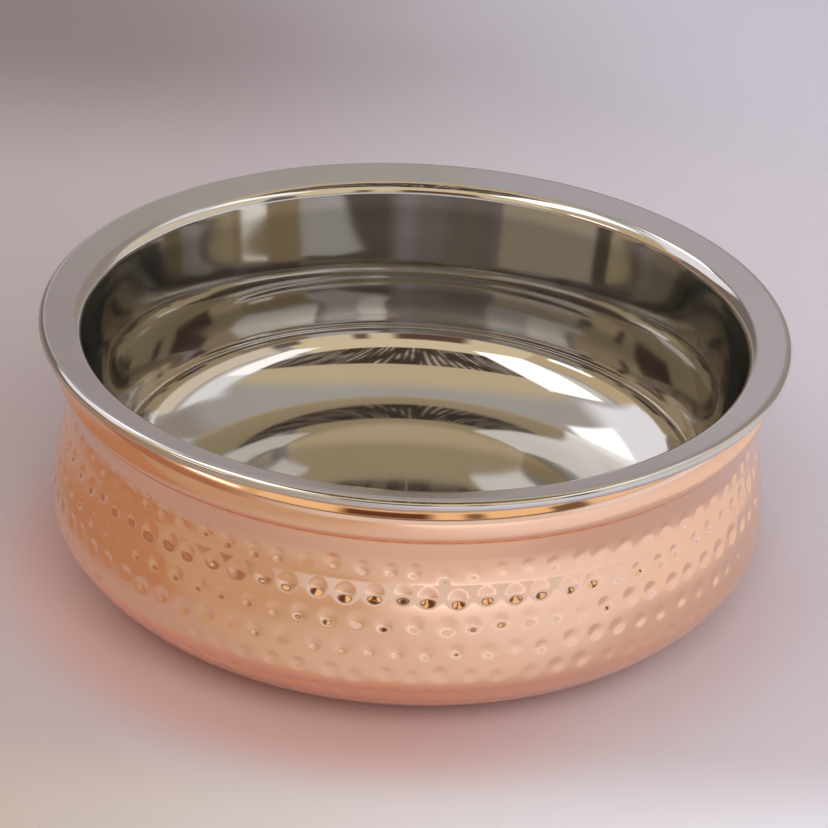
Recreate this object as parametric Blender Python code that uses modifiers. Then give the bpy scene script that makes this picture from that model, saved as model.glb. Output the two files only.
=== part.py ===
"""Double-walled serving handi: a hammered copper shell crimped to a stainless steel bowl.

Two turned sheet-metal pieces. The steel bowl ends in a flange whose edge is hemmed under the
turned-out lip of the copper shell, so the hem holds the two together with air between the walls.
Lengths are in metres. The origin is the middle of the flat base, with +Z up through the mouth.
"""
import math

import bmesh
import bpy

# Overall sizes.
HEIGHT = 0.075
RIM_RADIUS = 0.100

# Steel bowl: hemmed rim, sloping flange, rolled mouth, leaning wall and dished floor. Depths are
# below the top of the rim, and slopes and turns are in degrees.
STEEL_SHEET = 0.0006
HEM_RADIUS = 0.0016
FLANGE_WIDTH = 0.007
FLANGE_SLOPE = 15.0
MOUTH_ROLL = 0.0036
FOOT_RADIUS = 0.0835
FOOT_DEPTH = 0.0415
CORNER_CURVE = 0.0175
CORNER_SLOPE = 33.0
FLOOR_CURVE = 0.048
FLOOR_SLOPE = 1.0

# Copper shell, from the flat base up to the lip in the hem.
COPPER_SHEET = 0.0008
BASE_RADIUS = 0.063
BASE_CURVE = 0.0372
BASE_TURN = 58.0
BELLY_CURVE = 0.010
SHOULDER_CURVE = 0.076
SHOULDER_TURN = 18.0
NECK_CURVE = 0.014
FLARE_TURN = 17.0
COLLAR_RADIUS = 0.0957
COLLAR_DEPTH = 0.0115
UNDER_CURVE = 0.0043
UNDER_TURN = 54.0
COLLAR_CURVE = 0.0105
COLLAR_TURN = 34.0

# Clearances: sheets seated on each other, and the width of the hem's turned-in edge.
SEAT_GAP = 0.0003
HEM_FOLD = 0.002

# Hammer marks: round dents in staggered rows round the belly.
MARK_PITCH = 0.0073
MARK_DEPTH = 0.0006
MARK_TOP_DEPTH = 0.0205
MARK_BOTTOM_HEIGHT = 0.0045

# Facets round the axis.
STEEL_STEPS = 48
LINING_STEPS = 40

# Points on each curve that arc lengths are measured along.
CURVE_STEPS = 24

# What fits together is worked out from the sizes above.
HEM_CENTRE = (RIM_RADIUS - HEM_RADIUS, HEIGHT - HEM_RADIUS)
HEM_BOTTOM = HEIGHT - 2.0 * HEM_RADIUS
BEND_RADIUS = COLLAR_RADIUS - COLLAR_CURVE * (1.0 - math.cos(math.radians(COLLAR_TURN)))
FLANGE_RISE = math.tan(math.radians(FLANGE_SLOPE))
LIP_TOP = HEIGHT - STEEL_SHEET / math.cos(math.radians(FLANGE_SLOPE)) - SEAT_GAP
LIP_BOTTOM = LIP_TOP - COPPER_SHEET

PRODUCT = "handi"


def off(centre, radius, angle):
    """Point at a distance from a centre, the angle in degrees from +radius."""
    turn = math.radians(angle)
    return (centre[0] + radius * math.cos(turn), centre[1] + radius * math.sin(turn))


def arc(centre, radius, first, last, steps):
    """Points on a circle in the (radius, height) plane, angles in degrees from +radius."""
    return [off(centre, radius, first + (last - first) * step / steps) for step in range(steps + 1)]


def bowl_profile():
    """Upper face of the steel bowl, from the middle of the floor out to the edge of the hem."""
    tangent = off(HEM_CENTRE, HEM_RADIUS, 90.0 + FLANGE_SLOPE)
    mouth = HEM_CENTRE[0] - FLANGE_WIDTH
    roll = off((mouth, tangent[1] - (tangent[0] - mouth) * FLANGE_RISE), -MOUTH_ROLL, 90.0 + FLANGE_SLOPE)
    foot = (FOOT_RADIUS, HEIGHT - FOOT_DEPTH)
    run = (roll[0] - foot[0], roll[1] - foot[1])
    lean = math.degrees(math.atan2(*run) - math.asin(MOUTH_ROLL / math.hypot(*run)))

    corner = off(foot, -CORNER_CURVE, -lean)
    bend = off(corner, CORNER_CURVE - FLOOR_CURVE, CORNER_SLOPE - 90.0)
    floor = arc(bend, FLOOR_CURVE, FLOOR_SLOPE - 90.0, CORNER_SLOPE - 90.0, 3)
    points = [(0.0, floor[0][1] - floor[0][0] * math.tan(math.radians(FLOOR_SLOPE)) / 2.0)]
    points += floor
    points += arc(corner, CORNER_CURVE, CORNER_SLOPE - 90.0, -lean, 3)[1:]
    points += arc(roll, MOUTH_ROLL, 180.0 - lean, 90.0 + FLANGE_SLOPE, 3)
    points.append(tangent)
    points += arc(HEM_CENTRE, HEM_RADIUS, 90.0, -90.0, 6)
    points.append((HEM_CENTRE[0] - HEM_FOLD, HEM_BOTTOM))
    return points


def body_curve(inset):
    """Face of the shell from the edge of the flat base up to the crease, moved inwards by inset."""
    base = (BASE_RADIUS, BASE_CURVE)
    belly = off(base, BASE_CURVE - BELLY_CURVE, BASE_TURN - 90.0)
    shoulder = (belly[0] + BELLY_CURVE - SHOULDER_CURVE, belly[1])
    neck = off(shoulder, SHOULDER_CURVE + NECK_CURVE, SHOULDER_TURN)
    points = arc(base, BASE_CURVE - inset, -90.0, BASE_TURN - 90.0, CURVE_STEPS)
    points += arc(belly, BELLY_CURVE - inset, BASE_TURN - 90.0, 0.0, CURVE_STEPS)[1:]
    points += arc(shoulder, SHOULDER_CURVE - inset, 0.0, SHOULDER_TURN, CURVE_STEPS)[1:]
    points += arc(neck, NECK_CURVE + inset, 180.0 + SHOULDER_TURN, 180.0 - FLARE_TURN, CURVE_STEPS)[1:]
    return points + collar_curve(inset, 1, 1)[:1]


def collar_curve(inset, under_steps, roll_steps):
    """Face of the shell from the crease out round the collar and in to the bend of the lip."""
    under = (COLLAR_RADIUS - UNDER_CURVE, HEIGHT - COLLAR_DEPTH)
    roll = (COLLAR_RADIUS - COLLAR_CURVE, HEIGHT - COLLAR_DEPTH)
    points = arc(under, UNDER_CURVE - inset, -UNDER_TURN, 0.0, under_steps)
    return points + arc(roll, COLLAR_CURVE - inset, 0.0, COLLAR_TURN, roll_steps)[1:]


def lip_point(radius, height):
    """Point of the lip, which slopes with the flange, at the height that it has in the hem's middle."""
    return (radius, height - (HEM_CENTRE[0] - radius) * FLANGE_RISE)


def length_at(curve, height):
    """Distance along a rising curve to the given height."""
    length = 0.0
    for (r0, z0), (r1, z1) in zip(curve, curve[1:]):
        step = math.hypot(r1 - r0, z1 - z0)
        if z1 >= height:
            return length + step * (height - z0) / (z1 - z0)
        length += step
    return length


def point_at(curve, length):
    """Point at a distance along a curve."""
    for (r0, z0), (r1, z1) in zip(curve, curve[1:]):
        step = math.hypot(r1 - r0, z1 - z0)
        if length <= step:
            share = length / step
            return (r0 + (r1 - r0) * share, z0 + (z1 - z0) * share)
        length -= step
    return curve[-1]


def even_points(curve, first, last, steps):
    """Points at even distances along part of a curve."""
    return [point_at(curve, first + (last - first) * step / steps) for step in range(steps + 1)]


def material(name, colour, roughness):
    """Metal with the given colour and polish."""
    made = bpy.data.materials.new(name)
    made.use_nodes = True
    shader = made.node_tree.nodes["Principled BSDF"]
    shader.inputs["Base Color"].default_value = (*colour, 1.0)
    shader.inputs["Metallic"].default_value = 1.0
    shader.inputs["Roughness"].default_value = roughness
    return made


def turned(name, profile, steps, collection):
    """Object that revolves a profile in the XZ plane round the Z axis."""
    mesh = bpy.data.meshes.new(name)
    points = [(radius, 0.0, height) for radius, height in profile]
    mesh.from_pydata(points, [(i, i + 1) for i in range(len(points) - 1)], [])
    made = bpy.data.objects.new(name, mesh)
    collection.objects.link(made)
    screw = made.modifiers.new("Turned", "SCREW")
    screw.steps = steps
    screw.render_steps = steps
    screw.use_merge_vertices = True
    screw.merge_threshold = 0.00001
    screw.use_smooth_shade = True
    return made


def make_inner_bowl(parts):
    """Steel bowl: one sheet turned from its profile and thickened on its hidden side."""
    bowl = turned("inner_bowl", bowl_profile(), STEEL_STEPS, parts)
    sheet = bowl.modifiers.new("Sheet", "SOLIDIFY")
    sheet.thickness = STEEL_SHEET
    sheet.offset = -1.0
    sheet.use_even_offset = True
    sheet.use_quality_normals = True
    bowl.data.materials.append(material("polished_steel", (0.62, 0.60, 0.60), 0.12))


def hammer(mesh, curve, first, row_pitch, rows, marks):
    """Push the hammered band inwards into one dish at each mark, staggered from row to row."""
    work = bmesh.new()
    work.from_mesh(mesh)
    moves = []
    for vertex in work.verts:
        place = (length_at(curve, vertex.co.z) - first) / row_pitch
        if not 0.0 < place < rows or math.hypot(vertex.co.x, vertex.co.y) < BASE_RADIUS:
            continue
        turn = math.atan2(vertex.co.y, vertex.co.x) * marks / math.tau + math.floor(place) / 2.0
        dish = (math.sin(math.pi * place) * math.sin(math.pi * turn)) ** 2
        moves.append((vertex, vertex.normal * -MARK_DEPTH * dish))
    for vertex, move in moves:
        vertex.co += move
    work.to_mesh(mesh)
    work.free()


def make_copper_shell(parts, cutters):
    """Copper shell: a turned and hammered body, hollowed by the plain turned form of its inside."""
    curve = body_curve(0.0)
    first = length_at(curve, MARK_BOTTOM_HEIGHT)
    last = length_at(curve, HEIGHT - MARK_TOP_DEPTH)
    rows = max(1, round((last - first) / MARK_PITCH))
    marks = round(math.tau * COLLAR_RADIUS / MARK_PITCH)
    skin = even_points(curve, 0.0, first, 2)[:-1]
    skin += even_points(curve, first, last, 2 * rows)
    skin += collar_curve(0.0, 2, 2)
    skin += [lip_point(BEND_RADIUS, LIP_BOTTOM), (HEM_CENTRE[0], LIP_BOTTOM), (HEM_CENTRE[0], LIP_TOP)]
    skin.append(lip_point(BEND_RADIUS - COPPER_SHEET, LIP_TOP))
    top = skin[-1][1]
    body = turned("turned_body", [(0.0, top)] + skin[::-1] + [(0.0, 0.0)], 2 * marks, parts)

    evaluated = body.evaluated_get(bpy.context.evaluated_depsgraph_get())
    mesh = bpy.data.meshes.new_from_object(evaluated)
    bpy.data.objects.remove(body)
    mesh.name = "copper_shell"
    hammer(mesh, curve, first, (last - first) / rows, rows, marks)
    mesh.shade_smooth()
    mesh.set_sharp_from_angle(angle=math.radians(60.0))
    mesh.materials.append(material("hammered_copper", (0.80, 0.42, 0.28), 0.22))
    shell = bpy.data.objects.new("copper_shell", mesh)
    parts.objects.link(shell)

    lining_curve = body_curve(COPPER_SHEET)
    lining = even_points(lining_curve, 0.0, length_at(lining_curve, lining_curve[-1][1]), 10)
    lining += collar_curve(COPPER_SHEET, 2, 2)[1:]
    above = top + COPPER_SHEET
    lining += [(BEND_RADIUS - COPPER_SHEET, above), (0.0, above)]
    cutter = turned("lining", lining[::-1] + [(0.0, COPPER_SHEET)], LINING_STEPS, cutters)
    cutter.hide_render = True
    cutter.display_type = "WIRE"
    hollow = shell.modifiers.new("Hollow", "BOOLEAN")
    hollow.operation = "DIFFERENCE"
    hollow.solver = "EXACT"
    hollow.object = cutter


def main():
    for old in list(bpy.data.objects):
        bpy.data.objects.remove(old)
    parts = bpy.data.collections.new(PRODUCT)
    cutters = bpy.data.collections.new("cutters")
    for collection in (parts, cutters):
        bpy.context.scene.collection.children.link(collection)
    make_copper_shell(parts, cutters)
    make_inner_bowl(parts)


main()
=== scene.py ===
"""Looks of the copper handi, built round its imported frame.

The polished steel bowl and the hammered copper shell are modelled finely here, on the sizes of the
frame's two nodes, and stand for them. Lengths are in metres, with +Z up and the base at the origin.
A profile is a run of (radius, height) points. Slopes, turns and directions are in degrees.
"""

import math

import bpy
import numpy as np
from mathutils import Euler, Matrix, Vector


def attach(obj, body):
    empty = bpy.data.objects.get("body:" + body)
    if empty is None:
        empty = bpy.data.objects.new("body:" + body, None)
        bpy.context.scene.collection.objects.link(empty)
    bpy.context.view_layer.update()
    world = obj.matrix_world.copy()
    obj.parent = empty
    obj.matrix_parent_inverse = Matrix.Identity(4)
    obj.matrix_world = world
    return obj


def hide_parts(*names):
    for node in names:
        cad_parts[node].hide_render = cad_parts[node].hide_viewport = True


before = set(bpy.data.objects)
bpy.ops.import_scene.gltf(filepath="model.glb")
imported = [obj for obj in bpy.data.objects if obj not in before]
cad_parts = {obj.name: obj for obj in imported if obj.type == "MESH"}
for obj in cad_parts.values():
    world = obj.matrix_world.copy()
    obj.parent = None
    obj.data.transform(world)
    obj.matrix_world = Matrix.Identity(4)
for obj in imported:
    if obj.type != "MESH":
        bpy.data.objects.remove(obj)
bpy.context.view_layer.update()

# Overall sizes.
HEIGHT = 0.075
RIM_RADIUS = 0.100

# Steel bowl: hemmed rim, sloping flange, leaning wall and dished floor. Depths are below the rim's top.
STEEL_SHEET = 0.0006
HEM_RADIUS = 0.0016
HEM_FOLD = 0.002
FLANGE_WIDTH = 0.007
FLANGE_SLOPE = 15.0
MOUTH_ROLL = 0.0036
FOOT_RADIUS = 0.0835
FOOT_DEPTH = 0.0415
CORNER_CURVE = 0.0175
CORNER_SLOPE = 33.0
FLOOR_CURVE = 0.048
FLOOR_SLOPE = 1.0

# Finer shape of the mouth and wall: a tight then a wide roll, and a wall that flares towards the top.
ROLL_TIGHT = 0.0039
ROLL_BREAK = 48.0
ROLL_WIDE = 0.0045
WALL_TOP_SLOPE = 79.0
WALL_FOOT_SLOPE = 89.8
WALL_GRIP = 0.49
HEEL_SLOPE = 51.0
HEEL_CURVE = 0.0129

# Copper shell, from the flat base up to the lip in the hem.
COPPER_SHEET = 0.0008
BASE_RADIUS = 0.063
BASE_CURVE = 0.0372
BASE_TURN = 58.0
BELLY_CURVE = 0.010
SHOULDER_CURVE = 0.076
SHOULDER_TURN = 18.0
NECK_CURVE = 0.014
FLARE_TURN = 17.0
COLLAR_RADIUS = 0.0957
COLLAR_DEPTH = 0.0115
UNDER_CURVE = 0.0043
UNDER_TURN = 54.0
COLLAR_CURVE = 0.0105
COLLAR_TURN = 34.0
SEAT_GAP = 0.0003

# What fits together is worked out from the sizes above.
HEM_CENTRE = (RIM_RADIUS - HEM_RADIUS, HEIGHT - HEM_RADIUS)
HEM_BOTTOM = HEIGHT - 2.0 * HEM_RADIUS
FLANGE_RISE = math.tan(math.radians(FLANGE_SLOPE))
LIP_TOP = HEIGHT - STEEL_SHEET / math.cos(math.radians(FLANGE_SLOPE)) - SEAT_GAP
LIP_BOTTOM = LIP_TOP - COPPER_SHEET
LIP_BEND = COLLAR_RADIUS - COLLAR_CURVE * (1.0 - math.cos(math.radians(COLLAR_TURN)))

# Hammer marks: small round dents in staggered rows, each a little off its place, size and depth.
MARKS = 82
MARK_ROWS = 8
MARK_TOP_DEPTH = 0.0241
MARK_ROW_PITCH = 0.00715
MARK_RADIUS = 0.0027
MARK_DEPTH = 0.00045
MARK_SHIFT = 0.0004
MARK_SIZES = (0.85, 1.15)
MARK_DEPTHS = (0.7, 1.3)
MARK_SEED = 7

# Fineness of the meshes: columns round the axis, and steps along each stretch of a profile.
STEEL_COLUMNS = 384
COPPER_COLUMNS = 984
COPPER_RING_STEP = 0.00045
DISH_STEPS = 24
FLOOR_STEPS = 64
CORNER_STEPS = 40
HEEL_STEPS = 16
WALL_STEPS = 48
ROLL_STEPS = 24
FLANGE_STEPS = 8
HEM_START_STEPS = 4
HEM_STEPS = 48
BASE_STEPS = 64
BELLY_STEPS = 24
SHOULDER_STEPS = 48
NECK_STEPS = 24
COLLAR_STEPS = 16
LINING_SKIP = 4
SHARP_EDGE = 50.0

# Camera: where it stands, what it looks at, its tilt and its lens and sensor in millimetres.
CAMERA_PLACE = (0.0, -0.89383, 0.52341)
CAMERA_TARGET = (0.0007, 0.0, 0.04581)
CAMERA_ROLL = 3.02
CAMERA_LENS = 163.606
CAMERA_SENSOR = 36.0
CAMERA_CLIP = (0.05, 50.0)

# A noise is its scale and detail, a bump its strength and depth, and a range its low and high end.
SMEAR_RANGE = (0.3, 0.7)

# Steel: its own colours, and darker colours on the wall that are painted shade, each from one end of a soft
# mix to the other.
STEEL_METALLIC = 0.975
STEEL_BRIGHT = ((0.60, 0.575, 0.55), (0.66, 0.635, 0.615))
# Painted shade: a darker copy of the steel, laid over the wall between these heights.
STEEL_WALL_SHADE = ((0.40, 0.385, 0.355), (0.46, 0.44, 0.41))
STEEL_WALL_SHADE_HEIGHTS = (0.0365, 0.0665)
STEEL_WALL_SHADE_EDGE = 0.002
STEEL_ROUGHNESS = (0.045, 0.075)
STEEL_SMEARS = (38.0, 3.0)
STEEL_SPUN_LINES = (2600.0, 2.0)
STEEL_BUMP = (0.05, 0.00002)

# Copper.
COPPER_METALLIC = 1.0
COPPER_COLOURS = ((0.93, 0.58, 0.38), (0.96, 0.64, 0.46))
COPPER_ROUGHNESS = (0.06, 0.11)
COPPER_SMEARS = (45.0, 3.0)
COPPER_GRAIN = (900.0, 2.0)
COPPER_BUMP = (0.08, 0.00003)

# Table: painted shade to the left turning to painted light to the right in a slanting change, farther parts
# behind, and patches round the bowl of painted shade and painted light. A pair of places is where a change
# starts and where it is full.
TABLE_HALF = 2.5
TABLE_SLANT = 0.25
TABLE_CLOUDING = 0.06
TABLE_ACROSS = (-0.16, 0.24)
TABLE_SHADE_TO_LIGHT = ((0.45, 0.38, 0.40), (0.62, 0.60, 0.72))
BEHIND_START = (0.22, 0.36)
BEHIND_ACROSS = (-0.02, 0.26)
BEHIND_SHADE_TO_LIGHT = ((0.26, 0.21, 0.225), (0.60, 0.60, 0.75))
FARTHEST_START = (0.45, 0.55)
FARTHEST_COLOUR = (0.36, 0.27, 0.22)
# Painted shade, warm, on the table to the left.
LEFT_START = (-0.11, -0.15)
LEFT_BACK_EDGE = (0.10, 0.0)
LEFT_PAINTED_SHADE = (0.42, 0.25, 0.16)
# Painted light on the table to the right.
RIGHT_START = (0.15, 0.20)
RIGHT_PAINTED_LIGHT = (0.80, 0.80, 0.88)
# Painted light on the table in front, with painted shade towards its left end.
FRONT_START = (-0.085, -0.13)
FRONT_ACROSS = (-0.20, 0.15)
FRONT_SHADE_TO_LIGHT = ((0.44, 0.36, 0.28), (0.77, 0.80, 0.95))

# Glow of the copper on the table: from its reach inwards, and fainter to the right.
GLOW_REACH = (0.120, 0.096)
GLOW_STRENGTH = 0.5
GLOW_ACROSS = (0.07, -0.01)
GLOW_FAINTEST = 0.3
GLOW_COLOUR = (0.56, 0.27, 0.21)

# Finish of the table.
TABLE_ROUGHNESS = (0.5, 0.65)
TABLE_CLOUDS = (6.0, 3.0)
TABLE_GRAIN = (300.0, 2.0)
TABLE_BUMP = (0.03, 0.0005)

# Walls of the room: a colour low and high, and patches over them. Azimuth 0 is the camera's side and grows
# to the right. A patch is its azimuths, its elevations, how soft both of these edges are, and its colour.
WALL_RISE = (20.0, 60.0)
WALL_COLOURS = ((0.44, 0.38, 0.38), (0.50, 0.47, 0.43))
WALL_PATCHES = (
    # Behind: dark and brownish at both sides, pale in the middle left.
    ((-160.0, -101.0), (5.0, 45.0), (4.0, 4.0), (0.22, 0.18, 0.16)),
    ((130.0, 163.0), (5.0, 45.0), (6.0, 4.0), (0.38, 0.32, 0.28)),
    ((-177.0, -165.0), (-5.0, 62.0), (3.0, 8.0), (0.56, 0.52, 0.55)),
    # Camera side: pale table edge, warmer to the left, cream wall with a dark foot, and dark figures.
    ((-80.0, 80.0), (-10.0, 10.0), (10.0, 1.5), (0.76, 0.77, 0.84)),
    ((-95.0, -35.0), (-10.0, 10.0), (20.0, 1.5), (0.52, 0.41, 0.31)),
    ((-47.0, 50.0), (13.0, 52.0), (1.5, 1.5), (0.90, 0.74, 0.48)),
    ((-47.0, 50.0), (10.5, 13.0), (1.5, 0.8), (0.12, 0.09, 0.07)),
    ((-20.0, 8.0), (14.0, 29.0), (3.0, 2.0), (0.13, 0.06, 0.04)),
    ((18.0, 24.0), (14.0, 28.0), (2.0, 2.0), (0.18, 0.12, 0.08)),
    # Left: warm below, olive wall with a bright window, white above.
    ((-130.0, -50.0), (-10.0, 12.0), (10.0, 2.0), (0.38, 0.21, 0.135)),
    ((-100.0, -47.0), (13.0, 36.0), (2.0, 1.5), (0.70, 0.54, 0.31)),
    ((-100.0, -47.0), (39.0, 52.0), (8.0, 3.0), (0.85, 0.83, 0.74)),
    ((-72.0, -53.0), (16.5, 21.0), (1.5, 1.0), (2.40, 2.40, 2.35)),
    # Right: pale and bluish below, cream wall behind a dark post, white above.
    ((52.0, 125.0), (-10.0, 9.0), (8.0, 2.0), (0.86, 0.92, 1.10)),
    ((57.0, 125.0), (11.0, 35.0), (2.0, 2.0), (0.88, 0.76, 0.60)),
    ((57.0, 125.0), (38.0, 52.0), (4.0, 3.0), (1.05, 1.05, 1.05)),
    ((45.0, 56.0), (9.0, 25.0), (1.5, 2.0), (0.17, 0.13, 0.09)),
)

# Ceiling: a flat plane one unit up, with places to the right and towards the camera in that unit. A panel
# is its places across, its places ahead, how soft its edges are, and its colour.
CEILING_START = (15.0, 25.0)
LEAST_RISE = 0.01
TAN_SIDES = (-0.55, 0.75)
TAN_EDGE = 0.03
TAN_BACK = (-0.36, -0.12)
TAN_FRONT = (0.20, 0.12)
TAN_COLOUR = (0.70, 0.57, 0.36)
CEILING_PANELS = (
    # Windows to the left and right in front, a pale part behind to the left, and a window at its edge.
    ((-1.00, -0.47), (-0.16, 0.98), 0.015, (1.90, 1.90, 1.92)),
    ((0.79, 1.15), (-0.02, 0.90), 0.015, (1.60, 1.56, 1.52)),
    ((-2.5, -0.60), (-1.4, -0.25), 0.10, (1.15, 1.12, 1.18)),
    ((-0.66, -0.38), (-1.05, -0.58), 0.02, (1.90, 1.90, 1.92)),
)

# Slats in front of the ceiling: dark, with thin gleams that come and go across them.
SLAT_SIDES = (-0.47, 0.79)
SLAT_EDGE = 0.012
SLAT_BACK = (0.07, 0.11)
SLAT_FOOT = (49.0, 51.0)
SLAT_LINES = 190.0
SLAT_LINE_RANGE = (0.2, 1.0)
SLAT_DRIFT = 6.0
SLAT_CLOUDS = (2.0, 1.0)
SLAT_GLEAM_RANGE = (0.42, 0.62)
SLAT_COLOURS = ((0.055, 0.030, 0.024), (0.90, 0.74, 0.55))

# Lamp.
LAMP_PLACE = (0.3, -1.6, 1.2)
LAMP_SIZE = 1.8
LAMP_POWER = 30.0


def off(centre, radius, angle):
    """Point at a distance from a centre, the angle counted from +radius."""
    turn = math.radians(angle)
    return (centre[0] + radius * math.cos(turn), centre[1] + radius * math.sin(turn))


def arc(centre, radius, first, last, steps):
    """Points on a circle between two angles, both counted from +radius."""
    return [off(centre, radius, first + (last - first) * step / steps) for step in range(steps + 1)]


def line(start, end, steps):
    """Points on a straight run, both ends left out."""
    return [(start[0] + (end[0] - start[0]) * step / steps, start[1] + (end[1] - start[1]) * step / steps)
            for step in range(1, steps)]


def blend(start, start_slope, end, end_slope, steps):
    """Points on a smooth curve with the given slopes at its ends, both ends left out."""
    reach = math.dist(start, end) * WALL_GRIP
    anchors = (start, off(start, reach, start_slope), off(end, -reach, end_slope), end)
    points = []
    for step in range(1, steps):
        share = step / steps
        rest = 1.0 - share
        weights = (rest ** 3, 3.0 * rest * rest * share, 3.0 * rest * share * share, share ** 3)
        points.append(tuple(sum(weight * anchor[axis] for weight, anchor in zip(weights, anchors))
                            for axis in (0, 1)))
    return points


def floor_curve(start):
    """Upper face of the floor, from its middle to the point where it begins to turn up."""
    dish = start[0] * math.tan(math.radians(FLOOR_SLOPE)) / 2.0
    shares = [step / DISH_STEPS for step in range(DISH_STEPS)]
    return [(start[0] * share, start[1] - dish * (1.0 - share * share)) for share in shares]


def mouth_curve(roll):
    """Upper face of the rolled mouth, a wide then a tight roll up to the flange."""
    edge = off(roll, MOUTH_ROLL, 90.0 + FLANGE_SLOPE)
    tight = off(edge, -ROLL_TIGHT, 90.0 + FLANGE_SLOPE)
    points = arc(tight, ROLL_TIGHT, 90.0 + ROLL_BREAK, 90.0 + FLANGE_SLOPE, ROLL_STEPS)
    wide = off(points[0], -ROLL_WIDE, 90.0 + ROLL_BREAK)
    return arc(wide, ROLL_WIDE, 90.0 + WALL_TOP_SLOPE, 90.0 + ROLL_BREAK, ROLL_STEPS)[:-1] + points


def bowl_profile():
    """Upper face of the steel bowl, from the middle of the floor out to the edge of the hem."""
    tangent = off(HEM_CENTRE, HEM_RADIUS, 90.0 + FLANGE_SLOPE)
    mouth = HEM_CENTRE[0] - FLANGE_WIDTH
    roll = off((mouth, tangent[1] - (tangent[0] - mouth) * FLANGE_RISE), -MOUTH_ROLL, 90.0 + FLANGE_SLOPE)
    foot = (FOOT_RADIUS, HEIGHT - FOOT_DEPTH)
    run = (roll[0] - foot[0], roll[1] - foot[1])
    lean = math.degrees(math.atan2(*run) - math.asin(MOUTH_ROLL / math.hypot(*run)))

    corner = off(foot, -CORNER_CURVE, -lean)
    bend = off(corner, CORNER_CURVE - FLOOR_CURVE, CORNER_SLOPE - 90.0)
    rising = arc(bend, FLOOR_CURVE, FLOOR_SLOPE - 90.0, CORNER_SLOPE - 90.0, FLOOR_STEPS)
    points = floor_curve(rising[0]) + rising
    points += arc(corner, CORNER_CURVE, CORNER_SLOPE - 90.0, HEEL_SLOPE - 90.0, CORNER_STEPS)[1:]
    heel = off(points[-1], -HEEL_CURVE, HEEL_SLOPE - 90.0)
    points += arc(heel, HEEL_CURVE, HEEL_SLOPE - 90.0, WALL_FOOT_SLOPE - 90.0, HEEL_STEPS)[1:]

    rolled = mouth_curve(roll)
    points += blend(points[-1], WALL_FOOT_SLOPE, rolled[0], WALL_TOP_SLOPE, WALL_STEPS) + rolled
    points += line(rolled[-1], tangent, FLANGE_STEPS)
    points += arc(HEM_CENTRE, HEM_RADIUS, 90.0 + FLANGE_SLOPE, 90.0, HEM_START_STEPS)
    points += arc(HEM_CENTRE, HEM_RADIUS, 90.0, -90.0, HEM_STEPS)[1:]
    points.append((HEM_CENTRE[0] - HEM_FOLD, HEM_BOTTOM))
    return points


def body_curve(inset):
    """Face of the shell from the edge of the flat base up to the crease, moved inwards by inset."""
    base = (BASE_RADIUS, BASE_CURVE)
    belly = off(base, BASE_CURVE - BELLY_CURVE, BASE_TURN - 90.0)
    shoulder = (belly[0] + BELLY_CURVE - SHOULDER_CURVE, belly[1])
    neck = off(shoulder, SHOULDER_CURVE + NECK_CURVE, SHOULDER_TURN)
    points = arc(base, BASE_CURVE - inset, -90.0, BASE_TURN - 90.0, BASE_STEPS)
    points += arc(belly, BELLY_CURVE - inset, BASE_TURN - 90.0, 0.0, BELLY_STEPS)[1:]
    points += arc(shoulder, SHOULDER_CURVE - inset, 0.0, SHOULDER_TURN, SHOULDER_STEPS)[1:]
    points += arc(neck, NECK_CURVE + inset, 180.0 + SHOULDER_TURN, 180.0 - FLARE_TURN, NECK_STEPS)[1:]
    return points + collar_curve(inset)[:1]


def collar_curve(inset):
    """Face of the shell from the crease out round the collar and in to the bend of the lip."""
    under = (COLLAR_RADIUS - UNDER_CURVE, HEIGHT - COLLAR_DEPTH)
    roll = (COLLAR_RADIUS - COLLAR_CURVE, HEIGHT - COLLAR_DEPTH)
    points = arc(under, UNDER_CURVE - inset, -UNDER_TURN, 0.0, COLLAR_STEPS)
    return points + arc(roll, COLLAR_CURVE - inset, 0.0, COLLAR_TURN, COLLAR_STEPS)[1:]


def lip_point(radius, height):
    """Point of the lip, which slopes with the flange, at the height that it has in the hem's middle."""
    return (radius, height - (HEM_CENTRE[0] - radius) * FLANGE_RISE)


def distances(curve):
    """How far along a curve each of its points lies."""
    return np.concatenate(([0.0], np.cumsum(np.hypot(*np.diff(curve, axis=0).T))))


def even_points(curve, step):
    """Points at about even distances along a whole curve."""
    curve = np.array(curve)
    along = distances(curve)
    places = np.linspace(0.0, along[-1], round(along[-1] / step) + 1)
    return np.stack([np.interp(places, along, curve[:, 0]), np.interp(places, along, curve[:, 1])], axis=1)


def profile_normals(points):
    """Unit normals to the left of a profile."""
    slopes = np.gradient(points, axis=0)
    normals = np.stack([-slopes[:, 1], slopes[:, 0]], axis=1)
    return normals / np.hypot(normals[:, 0], normals[:, 1])[:, None]


def full_turn(columns):
    """Angles of the columns round the axis, in radians."""
    return np.linspace(0.0, math.tau, columns, endpoint=False)


def spin(profile, columns):
    """Rings of points, one for each point of a profile, as an array of rings by columns by xyz."""
    turns = full_turn(columns)
    radii = profile[:, 0][:, None]
    heights = np.broadcast_to(profile[:, 1][:, None], (len(profile), columns))
    return np.stack([radii * np.cos(turns), radii * np.sin(turns), heights], axis=2)


def ring_faces(rings, columns):
    """Quads between rings of vertices, with fans to the two middle vertices that follow the rings."""
    first = rings * columns
    last = first + 1
    top = first - columns
    faces = []
    for column in range(columns):
        after = (column + 1) % columns
        faces.append((first, after, column))
        for low in range(0, top, columns):
            high = low + columns
            faces.append((low + column, low + after, high + after, high + column))
        faces.append((last, top + column, top + after))
    return faces


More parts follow.
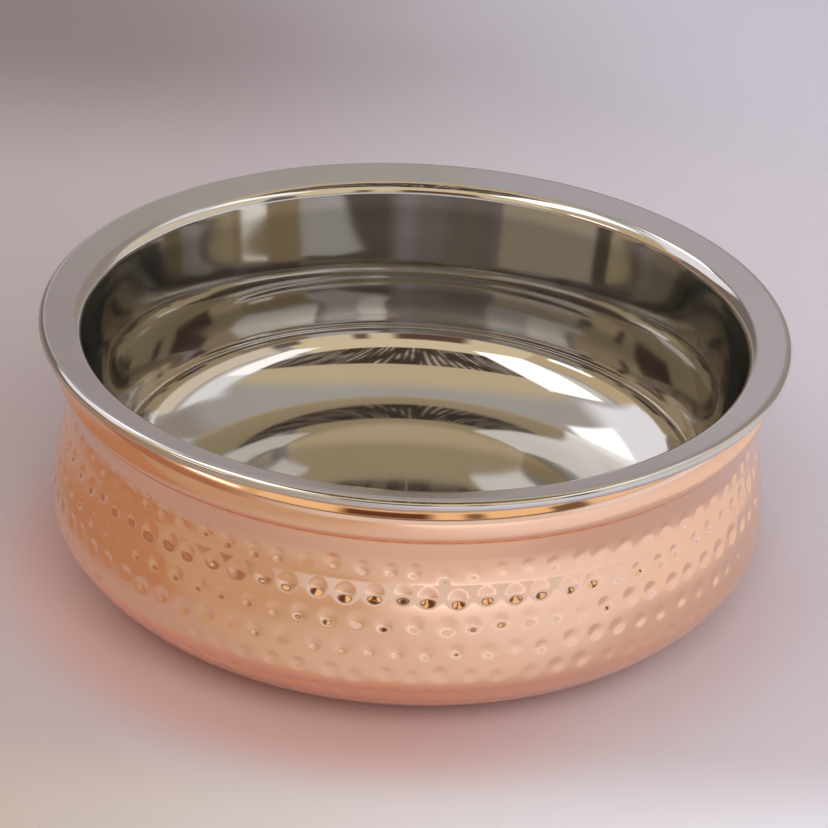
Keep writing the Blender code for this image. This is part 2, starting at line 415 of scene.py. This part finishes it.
def closed_object(name, rings, first_height, last_height):
    """Closed object from rings of points and the heights where its ends meet the axis, shaded smooth."""
    ends = [[0.0, 0.0, first_height], [0.0, 0.0, last_height]]
    vertices = np.concatenate([rings.reshape(-1, 3), ends])
    mesh = bpy.data.meshes.new(name)
    mesh.from_pydata(vertices.tolist(), [], ring_faces(*rings.shape[:2]))
    mesh.validate()
    mesh.shade_smooth()
    mesh.set_sharp_from_angle(angle=math.radians(SHARP_EDGE))
    made = bpy.data.objects.new(name, mesh)
    bpy.context.scene.collection.objects.link(made)
    return made


def make_steel_bowl():
    """Steel bowl of one sheet: its upper face, and the same face moved down by the sheet."""
    upper = np.array(bowl_profile())
    normals = profile_normals(upper)
    normals[0] = (0.0, 1.0)
    lower = upper - normals * STEEL_SHEET
    loop = np.concatenate([lower, upper[::-1]])
    return closed_object("steel_bowl", spin(loop[1:-1], STEEL_COLUMNS), lower[0][1], upper[0][1])


def mark_dishes(curve, columns):
    """Depth of the hammer marks at every point of the body, as an array of rings by columns."""
    random = np.random.default_rng(MARK_SEED)
    widest = max(radius for radius, _ in body_curve(0.0))
    along = distances(curve)
    first = np.interp(HEIGHT - MARK_TOP_DEPTH, curve[:, 1], along)
    turns = full_turn(columns)
    depths = np.zeros((len(curve), columns))
    for row in range(MARK_ROWS):
        for mark in range(MARKS):
            place = first - MARK_ROW_PITCH * row + random.normal(0.0, MARK_SHIFT)
            turn = math.tau * (mark + row / 2.0) / MARKS
            reach = MARK_RADIUS * random.uniform(*MARK_SIZES)
            depth = MARK_DEPTH * random.uniform(*MARK_DEPTHS)
            turn += random.normal(0.0, MARK_SHIFT) / widest
            near = np.abs(along - place) < reach
            radius = np.interp(place, along, curve[:, 0])
            across = (turns - turn + math.pi) % math.tau - math.pi
            beside = np.abs(across) * radius < reach
            distance = ((along[near] - place)[:, None] ** 2 + (across[beside] * radius) ** 2) / reach ** 2
            dish = depth * np.clip(1.0 - distance, 0.0, 1.0) ** 2
            depths[np.ix_(near, beside)] += dish
    return depths


def hammered_rings(body):
    """Rings of the shell's outer face, pressed in by the hammer marks."""
    depths = mark_dishes(body, COPPER_COLUMNS)
    outward = -profile_normals(body)
    turns = full_turn(COPPER_COLUMNS)
    outward = np.stack([outward[:, :1] * np.cos(turns), outward[:, :1] * np.sin(turns),
                        np.broadcast_to(outward[:, 1:], depths.shape)], axis=2)
    return spin(body, COPPER_COLUMNS) - outward * depths[:, :, None]


def make_copper_shell():
    """Copper shell of one sheet: hammered body, plain collar and lip, and a smooth lining."""
    body = even_points(body_curve(0.0), COPPER_RING_STEP)
    collar = np.array(collar_curve(0.0)[1:] + [
        lip_point(LIP_BEND, LIP_BOTTOM), (HEM_CENTRE[0], LIP_BOTTOM), (HEM_CENTRE[0], LIP_TOP),
        lip_point(LIP_BEND - COPPER_SHEET, LIP_TOP)])
    lining = np.array([(0.0, COPPER_SHEET)] + body_curve(COPPER_SHEET)[::LINING_SKIP]
                      + collar_curve(COPPER_SHEET)[::LINING_SKIP])[::-1]
    rings = np.concatenate([hammered_rings(body), spin(collar, COPPER_COLUMNS),
                            spin(lining[:-1], COPPER_COLUMNS)])
    return closed_object("copper_shell_hammered", rings, 0.0, lining[-1][1])


def make_camera():
    """Camera at the photograph's place, turned to its target and then tilted."""
    data = bpy.data.cameras.new("camera")
    data.lens = CAMERA_LENS
    data.sensor_width = CAMERA_SENSOR
    data.clip_start, data.clip_end = CAMERA_CLIP
    camera = bpy.data.objects.new("camera", data)
    bpy.context.scene.collection.objects.link(camera)
    sight = Vector(CAMERA_TARGET) - Vector(CAMERA_PLACE)
    facing = sight.to_track_quat("-Z", "Y").to_matrix().to_4x4()
    tilt = Euler((0.0, 0.0, math.radians(CAMERA_ROLL))).to_matrix().to_4x4()
    camera.matrix_world = facing @ tilt
    camera.location = CAMERA_PLACE
    bpy.context.scene.camera = camera


class Nodes:
    """Short ways to add nodes to one tree. A value is a socket to link or a number to set."""

    # Sockets of a Mix node that mixes colours.
    MIX_SHARE = 0
    MIX_FIRST = 6
    MIX_SECOND = 7
    MIX_RESULT = 2

    def __init__(self, tree):
        self.tree = tree

    def put(self, value, socket):
        """Link or set a value."""
        if isinstance(value, bpy.types.NodeSocket):
            self.tree.links.new(value, socket)
        else:
            socket.default_value = value

    def put_colour(self, colour, socket):
        """Link a colour, or set it from its red, green and blue."""
        self.put(colour if isinstance(colour, bpy.types.NodeSocket) else (*colour, 1.0), socket)

    def math(self, operation, first, second=0.0):
        """Result of a Math node."""
        node = self.tree.nodes.new("ShaderNodeMath")
        node.operation = operation
        self.put(first, node.inputs[0])
        self.put(second, node.inputs[1])
        return node.outputs[0]

    def times(self, first, *others):
        """Product of two or more values."""
        for other in others:
            first = self.math("MULTIPLY", first, other)
        return first

    def plus(self, first, *others):
        """Sum of two or more values."""
        for other in others:
            first = self.math("ADD", first, other)
        return first

    def distance(self, x, y):
        """Distance from the axis."""
        return self.math("SQRT", self.plus(self.times(x, x), self.times(y, y)))

    def ease(self, value, low, high, to_low=0.0, to_high=1.0):
        """Smooth step from to_low at low to to_high at high."""
        node = self.tree.nodes.new("ShaderNodeMapRange")
        node.interpolation_type = "SMOOTHSTEP"
        self.put(value, node.inputs["Value"])
        for name, number in (("From Min", low), ("From Max", high), ("To Min", to_low), ("To Max", to_high)):
            node.inputs[name].default_value = number
        return node.outputs["Result"]

    def within(self, value, low, high, soft):
        """1 between low and high, easing to 0 over a soft edge."""
        return self.times(self.ease(value, low - soft, low + soft),
                          self.ease(value, high - soft, high + soft, 1.0, 0.0))

    def mix(self, share, first, second):
        """Colour between two."""
        node = self.tree.nodes.new("ShaderNodeMix")
        node.data_type = "RGBA"
        self.put(share, node.inputs[self.MIX_SHARE])
        self.put_colour(first, node.inputs[self.MIX_FIRST])
        self.put_colour(second, node.inputs[self.MIX_SECOND])
        return node.outputs[self.MIX_RESULT]

    def noise(self, vector, scale, detail):
        """Soft random value at a place."""
        node = self.tree.nodes.new("ShaderNodeTexNoise")
        self.put(vector, node.inputs["Vector"])
        node.inputs["Scale"].default_value = scale
        node.inputs["Detail"].default_value = detail
        return node.outputs["Fac"]

    def combine(self, x, y, z):
        """Vector from three values."""
        node = self.tree.nodes.new("ShaderNodeCombineXYZ")
        for value, socket in zip((x, y, z), node.inputs):
            self.put(value, socket)
        return node.outputs[0]

    def split(self, vector):
        """The three values of a vector."""
        node = self.tree.nodes.new("ShaderNodeSeparateXYZ")
        self.put(vector, node.inputs[0])
        return node.outputs

    def coordinates(self, kind):
        """Place on the object, or direction in the world."""
        return self.tree.nodes.new("ShaderNodeTexCoord").outputs[kind]

    def bump(self, height, strength, distance):
        """Normal bent by a height."""
        node = self.tree.nodes.new("ShaderNodeBump")
        node.inputs["Strength"].default_value = strength
        node.inputs["Distance"].default_value = distance
        self.put(height, node.inputs["Height"])
        return node.outputs["Normal"]


def new_material(name):
    """New material, its node tree and its shader."""
    made = bpy.data.materials.new(name)
    made.use_nodes = True
    return made, Nodes(made.node_tree), made.node_tree.nodes["Principled BSDF"]


def steel_material():
    """Polished steel with faint marks of spinning and soft smears, and painted shade that darkens it on the
    wall.
    """
    made, nodes, shader = new_material("polished_steel")
    place = nodes.coordinates("Object")
    x, y, z = nodes.split(place)
    spun = nodes.noise(nodes.combine(nodes.distance(x, y), 0.0, z), *STEEL_SPUN_LINES)
    smears = nodes.noise(place, *STEEL_SMEARS)
    bright = nodes.mix(smears, *STEEL_BRIGHT)
    # Painted shade: the darker copy of the steel, mixed in on the wall of the bowl.
    wall_shade = nodes.mix(smears, *STEEL_WALL_SHADE)
    wall_shade_share = nodes.within(z, *STEEL_WALL_SHADE_HEIGHTS, STEEL_WALL_SHADE_EDGE)
    shader.inputs["Metallic"].default_value = STEEL_METALLIC
    nodes.put(nodes.mix(wall_shade_share, bright, wall_shade), shader.inputs["Base Color"])
    nodes.put(nodes.ease(smears, *SMEAR_RANGE, *STEEL_ROUGHNESS), shader.inputs["Roughness"])
    nodes.put(nodes.bump(spun, *STEEL_BUMP), shader.inputs["Normal"])
    return made


def copper_material():
    """Polished copper, a little uneven in colour and polish."""
    made, nodes, shader = new_material("hammered_copper")
    place = nodes.coordinates("Object")
    smears = nodes.noise(place, *COPPER_SMEARS)
    grain = nodes.noise(place, *COPPER_GRAIN)
    shader.inputs["Metallic"].default_value = COPPER_METALLIC
    nodes.put(nodes.mix(smears, *COPPER_COLOURS), shader.inputs["Base Color"])
    nodes.put(nodes.ease(smears, *SMEAR_RANGE, *COPPER_ROUGHNESS), shader.inputs["Roughness"])
    nodes.put(nodes.bump(grain, *COPPER_BUMP), shader.inputs["Normal"])
    return made


def table_colour(nodes, x, y, cloud):
    """Table with painted shade to the left, painted light to the right and in front, and painted warm light
    thrown on it by the copper.
    """
    across = nodes.plus(x, nodes.times(y, TABLE_SLANT), nodes.times(cloud, TABLE_CLOUDING))
    # Painted shade to the left turning to painted light to the right, near the bowl and behind it.
    colour = nodes.mix(nodes.ease(across, *TABLE_ACROSS), *TABLE_SHADE_TO_LIGHT)
    behind = nodes.mix(nodes.ease(across, *BEHIND_ACROSS), *BEHIND_SHADE_TO_LIGHT)
    colour = nodes.mix(nodes.ease(y, *BEHIND_START), colour, behind)
    colour = nodes.mix(nodes.ease(y, *FARTHEST_START), colour, FARTHEST_COLOUR)
    # Painted shade on the table to the left.
    left = nodes.times(nodes.ease(x, *LEFT_START), nodes.ease(y, *LEFT_BACK_EDGE))
    colour = nodes.mix(left, colour, LEFT_PAINTED_SHADE)
    # Painted light on the table to the right.
    colour = nodes.mix(nodes.ease(x, *RIGHT_START), colour, RIGHT_PAINTED_LIGHT)
    # Painted light on the table in front, darker towards its left end.
    front = nodes.mix(nodes.ease(x, *FRONT_ACROSS), *FRONT_SHADE_TO_LIGHT)
    colour = nodes.mix(nodes.ease(y, *FRONT_START), colour, front)
    glow = nodes.times(nodes.ease(nodes.distance(x, y), *GLOW_REACH, 0.0, GLOW_STRENGTH),
                       nodes.ease(x, *GLOW_ACROSS, GLOW_FAINTEST, 1.0))
    return nodes.mix(glow, colour, GLOW_COLOUR)


def make_table():
    """Flat table top that the bowl stands on."""
    half = TABLE_HALF
    mesh = bpy.data.meshes.new("table")
    mesh.from_pydata([(-half, -half, 0.0), (half, -half, 0.0), (half, half, 0.0), (-half, half, 0.0)], [],
                     [(0, 1, 2, 3)])
    table = bpy.data.objects.new("table", mesh)
    bpy.context.scene.collection.objects.link(table)
    made, nodes, shader = new_material("table_top")
    place = nodes.coordinates("Object")
    x, y, _ = nodes.split(place)
    cloud = nodes.noise(place, *TABLE_CLOUDS)
    nodes.put(table_colour(nodes, x, y, cloud), shader.inputs["Base Color"])
    nodes.put(nodes.ease(cloud, *SMEAR_RANGE, *TABLE_ROUGHNESS), shader.inputs["Roughness"])
    nodes.put(nodes.bump(nodes.noise(place, *TABLE_GRAIN), *TABLE_BUMP), shader.inputs["Normal"])
    table.data.materials.append(made)


def add_walls(nodes, colour, azimuth, elevation):
    """Colour with the patches of the walls laid over it, each by its direction."""
    for azimuths, elevations, edges, paint in WALL_PATCHES:
        share = nodes.times(nodes.within(azimuth, *azimuths, edges[0]),
                            nodes.within(elevation, *elevations, edges[1]))
        colour = nodes.mix(share, colour, paint)
    return colour


def add_ceiling(nodes, colour, side, ahead, elevation):
    """Colour with the tan part of the ceiling and its windows laid over it."""
    raised = nodes.ease(elevation, *CEILING_START)
    share = nodes.times(nodes.within(side, *TAN_SIDES, TAN_EDGE), nodes.ease(ahead, *TAN_BACK),
                        nodes.ease(ahead, *TAN_FRONT), raised)
    colour = nodes.mix(share, colour, TAN_COLOUR)
    for sides, aheads, edge, paint in CEILING_PANELS:
        share = nodes.times(nodes.within(side, *sides, edge), nodes.within(ahead, *aheads, edge), raised)
        colour = nodes.mix(share, colour, paint)
    return colour


def add_slats(nodes, colour, side, ahead, elevation):
    """Colour with the dark slats and their gleams laid over it."""
    lines = nodes.ease(nodes.math("SINE", nodes.times(side, SLAT_LINES)), *SLAT_LINE_RANGE)
    drift = nodes.noise(nodes.combine(nodes.times(side, SLAT_DRIFT), ahead, 0.0), *SLAT_CLOUDS)
    gleams = nodes.times(lines, nodes.ease(drift, *SLAT_GLEAM_RANGE))
    share = nodes.times(nodes.within(side, *SLAT_SIDES, SLAT_EDGE), nodes.ease(ahead, *SLAT_BACK),
                        nodes.ease(elevation, *SLAT_FOOT))
    return nodes.mix(share, colour, nodes.mix(gleams, *SLAT_COLOURS))


def make_world():
    """Room round the bowl, as soft patches of light: walls by direction, ceiling as on a flat plane."""
    world = bpy.data.worlds.new("room")
    world.use_nodes = True
    bpy.context.scene.world = world
    nodes = Nodes(world.node_tree)
    x, y, z = nodes.split(nodes.coordinates("Generated"))
    front = nodes.times(y, -1.0)
    azimuth = nodes.math("DEGREES", nodes.math("ARCTAN2", x, front))
    elevation = nodes.math("DEGREES", nodes.math("ARCSINE", z))
    above = nodes.math("MAXIMUM", z, LEAST_RISE)
    side = nodes.math("DIVIDE", x, above)
    ahead = nodes.math("DIVIDE", front, above)
    colour = nodes.mix(nodes.ease(elevation, *WALL_RISE), *WALL_COLOURS)
    colour = add_walls(nodes, colour, azimuth, elevation)
    colour = add_ceiling(nodes, colour, side, ahead, elevation)
    colour = add_slats(nodes, colour, side, ahead, elevation)
    background = world.node_tree.nodes["Background"]
    nodes.put(colour, background.inputs["Color"])
    background.inputs["Strength"].default_value = 1.0


def make_lamp():
    """Large soft lamp overhead, which the metal doesn't mirror."""
    data = bpy.data.lights.new("softbox", "AREA")
    data.shape = "DISK"
    data.size = LAMP_SIZE
    data.energy = LAMP_POWER
    lamp = bpy.data.objects.new("softbox", data)
    lamp.location = LAMP_PLACE
    lamp.rotation_euler = (-lamp.location).to_track_quat("-Z", "Y").to_euler()
    lamp.visible_glossy = False
    bpy.context.scene.collection.objects.link(lamp)


def main():
    """Both pieces, each standing for its node, then what is round them."""
    bowl = make_steel_bowl()
    bowl.data.materials.append(steel_material())
    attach(bowl, "root")
    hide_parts("inner_bowl")
    shell = make_copper_shell()
    shell.data.materials.append(copper_material())
    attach(shell, "root")
    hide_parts("copper_shell")
    make_table()
    make_world()
    make_lamp()
    make_camera()
    scene = bpy.context.scene
    scene.view_settings.view_transform = "Standard"


main()
